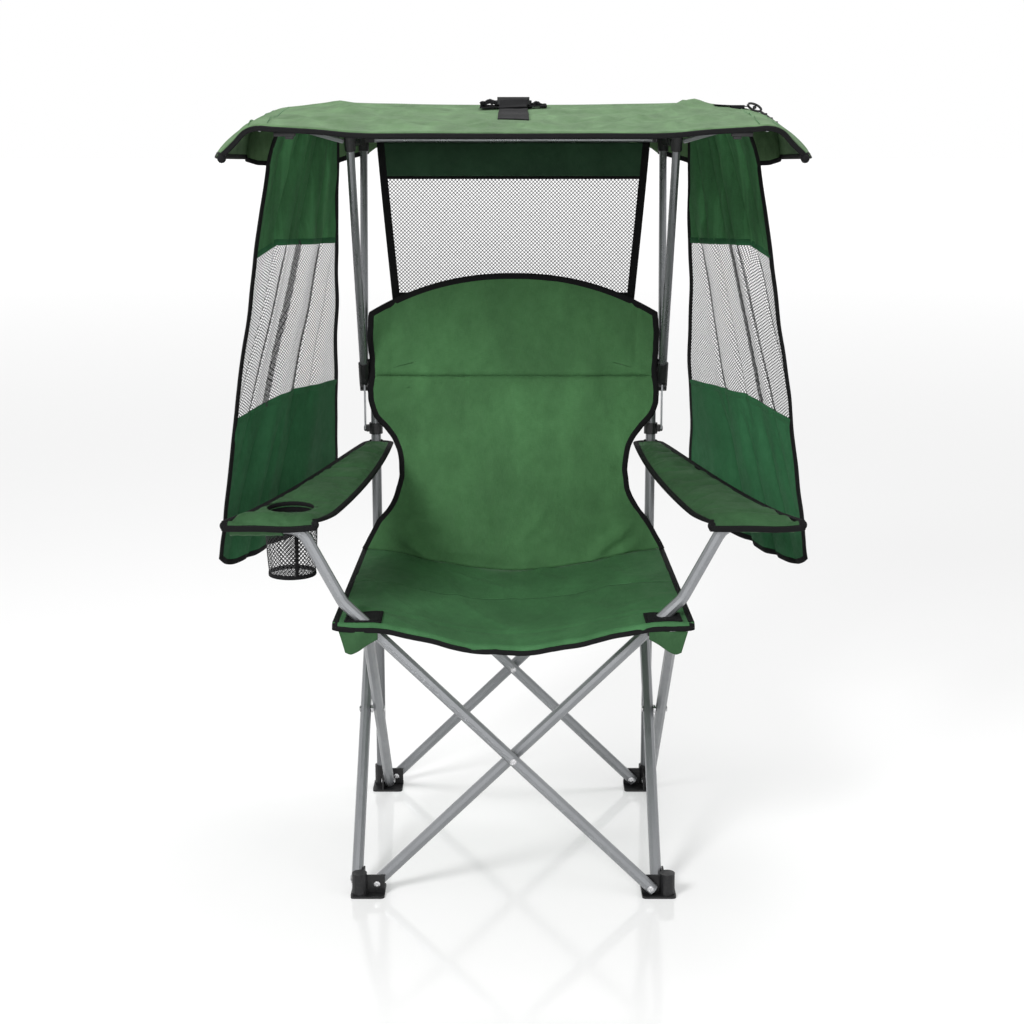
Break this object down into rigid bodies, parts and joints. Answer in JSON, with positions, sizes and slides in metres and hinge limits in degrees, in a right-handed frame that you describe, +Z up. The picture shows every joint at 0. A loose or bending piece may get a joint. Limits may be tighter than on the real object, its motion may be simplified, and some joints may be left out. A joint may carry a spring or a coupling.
{
  "type": "folding camp chair with canopy",
  "caption": "Folding camp chair on crossed steel tubes, with cloth seat and back, padded arm rests, a net cup holder and a tilting sun canopy with side curtains.",
  "frame": {"origin": "on the ground under the middle of the four feet, which is the bottom centre of the whole box", "axes": "+Z up, the open front of the chair faces -Y, +X to the right as seen from the front"},
  "size_m": [1.0022, 0.6702, 1.2908],
  "materials": {
    "grey_tube_paint": "satin grey paint on steel tube",
    "bright_rivet": "plain steel rivet",
    "black_moulding": "matte black moulding",
    "green_cloth": "plain woven polyester with black binding",
    "black_net": "open black net cloth",
    "black_webbing": "black webbing"
  },
  "bodies": {
    "rear_left": {"foot_rear_left": "black_moulding", "post_left": "grey_tube_paint", "rivet_foot_rear_left_a": "bright_rivet", "rivet_foot_rear_left_b": "bright_rivet", "canopy_clip_left": "black_moulding", "seat_back": "green_cloth"},
    "rear_right": {"foot_rear_right": "black_moulding", "post_right": "grey_tube_paint", "rivet_foot_rear_right_a": "bright_rivet", "rivet_foot_rear_right_b": "bright_rivet", "canopy_clip_right": "black_moulding"},
    "rear_cross_outer": {"tube_rear_from_left": "grey_tube_paint", "rivet_cross_rear": "bright_rivet"},
    "rear_cross_inner": {"tube_rear_from_right": "grey_tube_paint"},
    "slider_left": {"slider_rear_left": "black_moulding"},
    "slider_right": {"slider_rear_right": "black_moulding"},
    "left_cross_inner": {"tube_left_from_rear": "grey_tube_paint", "rivet_cross_left": "bright_rivet"},
    "left_cross_outer": {"tube_left_from_front": "grey_tube_paint"},
    "front_left_foot": {"foot_front_left": "black_moulding", "rivet_foot_front_left_a": "bright_rivet", "rivet_foot_front_left_b": "bright_rivet"},
    "front_left_bracket": {"bracket_front_left": "black_moulding"},
    "front_cross_inner": {"tube_front_from_left": "grey_tube_paint", "rivet_cross_front": "bright_rivet"},
    "front_cross_outer": {"tube_front_from_right": "grey_tube_paint"},
    "front_right_foot": {"foot_front_right": "black_moulding", "rivet_foot_front_right_a": "bright_rivet", "rivet_foot_front_right_b": "bright_rivet"},
    "front_right_bracket": {"bracket_front_right": "black_moulding"},
    "right_cross_outer": {"tube_right_from_rear": "grey_tube_paint", "rivet_cross_right": "bright_rivet"},
    "right_cross_inner": {"tube_right_from_front": "grey_tube_paint"},
    "seat_rear_half": {"seat_rear": "green_cloth"},
    "seat_front_half": {"seat_front": "green_cloth"},
    "arm_left": {"arm_rest_left": "green_cloth", "cup_holder": "black_net"},
    "arm_right": {"arm_rest_right": "green_cloth"},
    "canopy_link_left": {"canopy_link_left": "grey_tube_paint"},
    "canopy_link_right": {"canopy_link_right": "grey_tube_paint"},
    "canopy_left": {"canopy_knuckle_left": "black_moulding", "mast_front_left": "grey_tube_paint", "mast_rear_left": "grey_tube_paint", "canopy_rail_left": "black_moulding", "wing_rod_left": "grey_tube_paint", "canopy_top": "green_cloth", "curtain_left": "green_cloth", "canopy_back_panel": "black_net"},
    "canopy_right": {"canopy_knuckle_right": "black_moulding", "mast_front_right": "grey_tube_paint", "mast_rear_right": "grey_tube_paint", "canopy_rail_right": "black_moulding", "wing_rod_right": "grey_tube_paint", "curtain_right": "green_cloth", "canopy_side_strap": "black_webbing"},
    "crossbar_left": {"crossbar_left": "grey_tube_paint"},
    "crossbar_right": {"crossbar_right": "grey_tube_paint"},
    "canopy_webbing_centre": {"canopy_webbing": "black_webbing", "canopy_buckle": "black_moulding"}
  },
  "joints": [
    {"name": "chair_fold", "type": "hinge", "parent": "rear_left", "child": "rear_cross_outer", "pos_m": [-0.225, 0.2598, 0.018], "axis": [0, -1, 0], "range_deg": [0, 35.6], "deforming": ["seat_back", "seat_front", "seat_rear", "arm_rest_left", "arm_rest_right", "cup_holder", "canopy_top", "curtain_left", "curtain_right", "canopy_back_panel"]},
    {"name": "rear_crossing", "type": "hinge", "parent": "rear_cross_outer", "child": "rear_cross_inner", "pos_m": [0, 0.2485, 0.238], "axis": [0, 1, 0], "range_deg": [0, 71.4]},
    {"name": "rear_right_foot_pin", "type": "hinge", "parent": "rear_cross_inner", "child": "rear_right", "pos_m": [0.225, 0.2372, 0.018], "axis": [0, -1, 0], "range_deg": [0, 35.7]},
    {"name": "rear_left_slider_pin", "type": "hinge", "parent": "rear_cross_inner", "child": "slider_left", "pos_m": [-0.225, 0.2372, 0.458], "axis": [0, -1, 0], "range_deg": [0, 35.7]},
    {"name": "rear_right_slider_pin", "type": "hinge", "parent": "rear_cross_outer", "child": "slider_right", "pos_m": [0.225, 0.2598, 0.458], "axis": [0, 1, 0], "range_deg": [0, 35.7]},
    {"name": "left_rear_foot_pin", "type": "hinge", "parent": "rear_left", "child": "left_cross_inner", "pos_m": [-0.2372, 0.225, 0.018], "axis": [-1, 0, 0], "range_deg": [0, 35.7]},
    {"name": "left_crossing", "type": "hinge", "parent": "left_cross_inner", "child": "left_cross_outer", "pos_m": [-0.2485, 0, 0.238], "axis": [1, 0, 0], "range_deg": [0, 71.4]},
    {"name": "front_left_foot_pin", "type": "hinge", "parent": "left_cross_outer", "child": "front_left_foot", "pos_m": [-0.2598, -0.225, 0.018], "axis": [-1, 0, 0], "range_deg": [0, 35.7]},
    {"name": "front_left_bracket_pin", "type": "hinge", "parent": "left_cross_inner", "child": "front_left_bracket", "pos_m": [-0.2372, -0.225, 0.458], "axis": [1, 0, 0], "range_deg": [0, 35.7]},
    {"name": "front_left_tube_pin", "type": "hinge", "parent": "front_left_foot", "child": "front_cross_inner", "pos_m": [-0.225, -0.2372, 0.018], "axis": [0, -1, 0], "range_deg": [0, 35.7]},
    {"name": "front_crossing", "type": "hinge", "parent": "front_cross_inner", "child": "front_cross_outer", "pos_m": [0, -0.2485, 0.238], "axis": [0, 1, 0], "range_deg": [0, 71.4]},
    {"name": "front_right_foot_pin", "type": "hinge", "parent": "front_cross_outer", "child": "front_right_foot", "pos_m": [0.225, -0.2598, 0.018], "axis": [0, -1, 0], "range_deg": [0, 35.7]},
    {"name": "front_right_bracket_pin", "type": "hinge", "parent": "front_cross_inner", "child": "front_right_bracket", "pos_m": [0.225, -0.2372, 0.458], "axis": [0, 1, 0], "range_deg": [0, 35.7]},
    {"name": "right_rear_foot_pin", "type": "hinge", "parent": "rear_right", "child": "right_cross_outer", "pos_m": [0.2598, 0.225, 0.018], "axis": [-1, 0, 0], "range_deg": [0, 35.7]},
    {"name": "right_crossing", "type": "hinge", "parent": "right_cross_outer", "child": "right_cross_inner", "pos_m": [0.2485, 0, 0.238], "axis": [1, 0, 0], "range_deg": [0, 71.4]},
    {"name": "seat_rear_drop", "type": "hinge", "parent": "slider_left", "child": "seat_rear_half", "pos_m": [0, 0.225, 0.4722], "axis": [1, 0, 0], "range_deg": [0, 76]},
    {"name": "seat_front_drop", "type": "hinge", "parent": "front_left_bracket", "child": "seat_front_half", "pos_m": [0, -0.225, 0.4722], "axis": [-1, 0, 0], "range_deg": [0, 76]},
    {"name": "arm_left_lift", "type": "hinge", "parent": "rear_left", "child": "arm_left", "pos_m": [-0.2535, 0.2535, 0.668], "axis": [-1, 0, 0], "range_deg": [0, 58.2]},
    {"name": "arm_right_lift", "type": "hinge", "parent": "rear_right", "child": "arm_right", "pos_m": [0.2535, 0.2535, 0.668], "axis": [-1, 0, 0], "range_deg": [0, 58.2]},
    {"name": "canopy_fold", "type": "hinge", "parent": "rear_left", "child": "canopy_link_left", "pos_m": [-0.2725, 0.2535, 0.696], "axis": [-1, 0, 0], "range_deg": [0, 120]},
    {"name": "canopy_fold_right", "type": "hinge", "parent": "rear_right", "child": "canopy_link_right", "pos_m": [0.2725, 0.2535, 0.696], "axis": [-1, 0, 0], "range_deg": [0, 120.1]},
    {"name": "canopy_tilt", "type": "hinge", "parent": "canopy_link_left", "child": "canopy_left", "pos_m": [-0.2725, 0.25, 0.776], "axis": [-1, 0, 0], "range_deg": [-8, 20]},
    {"name": "canopy_tilt_right", "type": "hinge", "parent": "canopy_link_right", "child": "canopy_right", "pos_m": [0.2725, 0.25, 0.776], "axis": [-1, 0, 0], "range_deg": [-8.1, 20.1]},
    {"name": "crossbar_left_drop", "type": "hinge", "parent": "canopy_left", "child": "crossbar_left", "pos_m": [-0.25676, 0.3157, 1.2155], "axis": [0, 1, 0], "range_deg": [0, 69.6]},
    {"name": "crossbar_right_drop", "type": "hinge", "parent": "canopy_right", "child": "crossbar_right", "pos_m": [0.25676, 0.3243, 1.2155], "axis": [0, -1, 0], "range_deg": [0, 69.6]},
    {"name": "webbing_shift", "type": "slide", "parent": "canopy_left", "child": "canopy_webbing_centre", "axis": [-1, 0, 0], "range_m": [0, 0.171]}
  ],
  "couplings": [
    {"joint": "rear_crossing", "follows": "chair_fold", "ratio": 2},
    {"joint": "rear_right_foot_pin", "follows": "chair_fold", "ratio": 1},
    {"joint": "rear_left_slider_pin", "follows": "chair_fold", "ratio": 1},
    {"joint": "rear_right_slider_pin", "follows": "chair_fold", "ratio": 1},
    {"joint": "left_rear_foot_pin", "follows": "chair_fold", "ratio": 1},
    {"joint": "left_crossing", "follows": "chair_fold", "ratio": 2},
    {"joint": "front_left_foot_pin", "follows": "chair_fold", "ratio": 1},
    {"joint": "front_left_bracket_pin", "follows": "chair_fold", "ratio": 1},
    {"joint": "front_left_tube_pin", "follows": "chair_fold", "ratio": 1},
    {"joint": "front_crossing", "follows": "chair_fold", "ratio": 2},
    {"joint": "front_right_foot_pin", "follows": "chair_fold", "ratio": 1},
    {"joint": "front_right_bracket_pin", "follows": "chair_fold", "ratio": 1},
    {"joint": "right_rear_foot_pin", "follows": "chair_fold", "ratio": 1},
    {"joint": "right_crossing", "follows": "chair_fold", "ratio": 2},
    {"joint": "seat_rear_drop", "follows": "chair_fold", "ratio": 2.13},
    {"joint": "seat_front_drop", "follows": "chair_fold", "ratio": 2.13},
    {"joint": "arm_left_lift", "follows": "chair_fold", "ratio": 1.63},
    {"joint": "arm_right_lift", "follows": "chair_fold", "ratio": 1.63},
    {"joint": "canopy_fold_right", "follows": "canopy_fold", "ratio": 1},
    {"joint": "canopy_tilt_right", "follows": "canopy_tilt", "ratio": 1},
    {"joint": "crossbar_left_drop", "follows": "chair_fold", "ratio": 1.95},
    {"joint": "crossbar_right_drop", "follows": "chair_fold", "ratio": 1.95},
    {"joint": "webbing_shift", "follows": "chair_fold", "m_per_rad": 0.274}
  ]
}
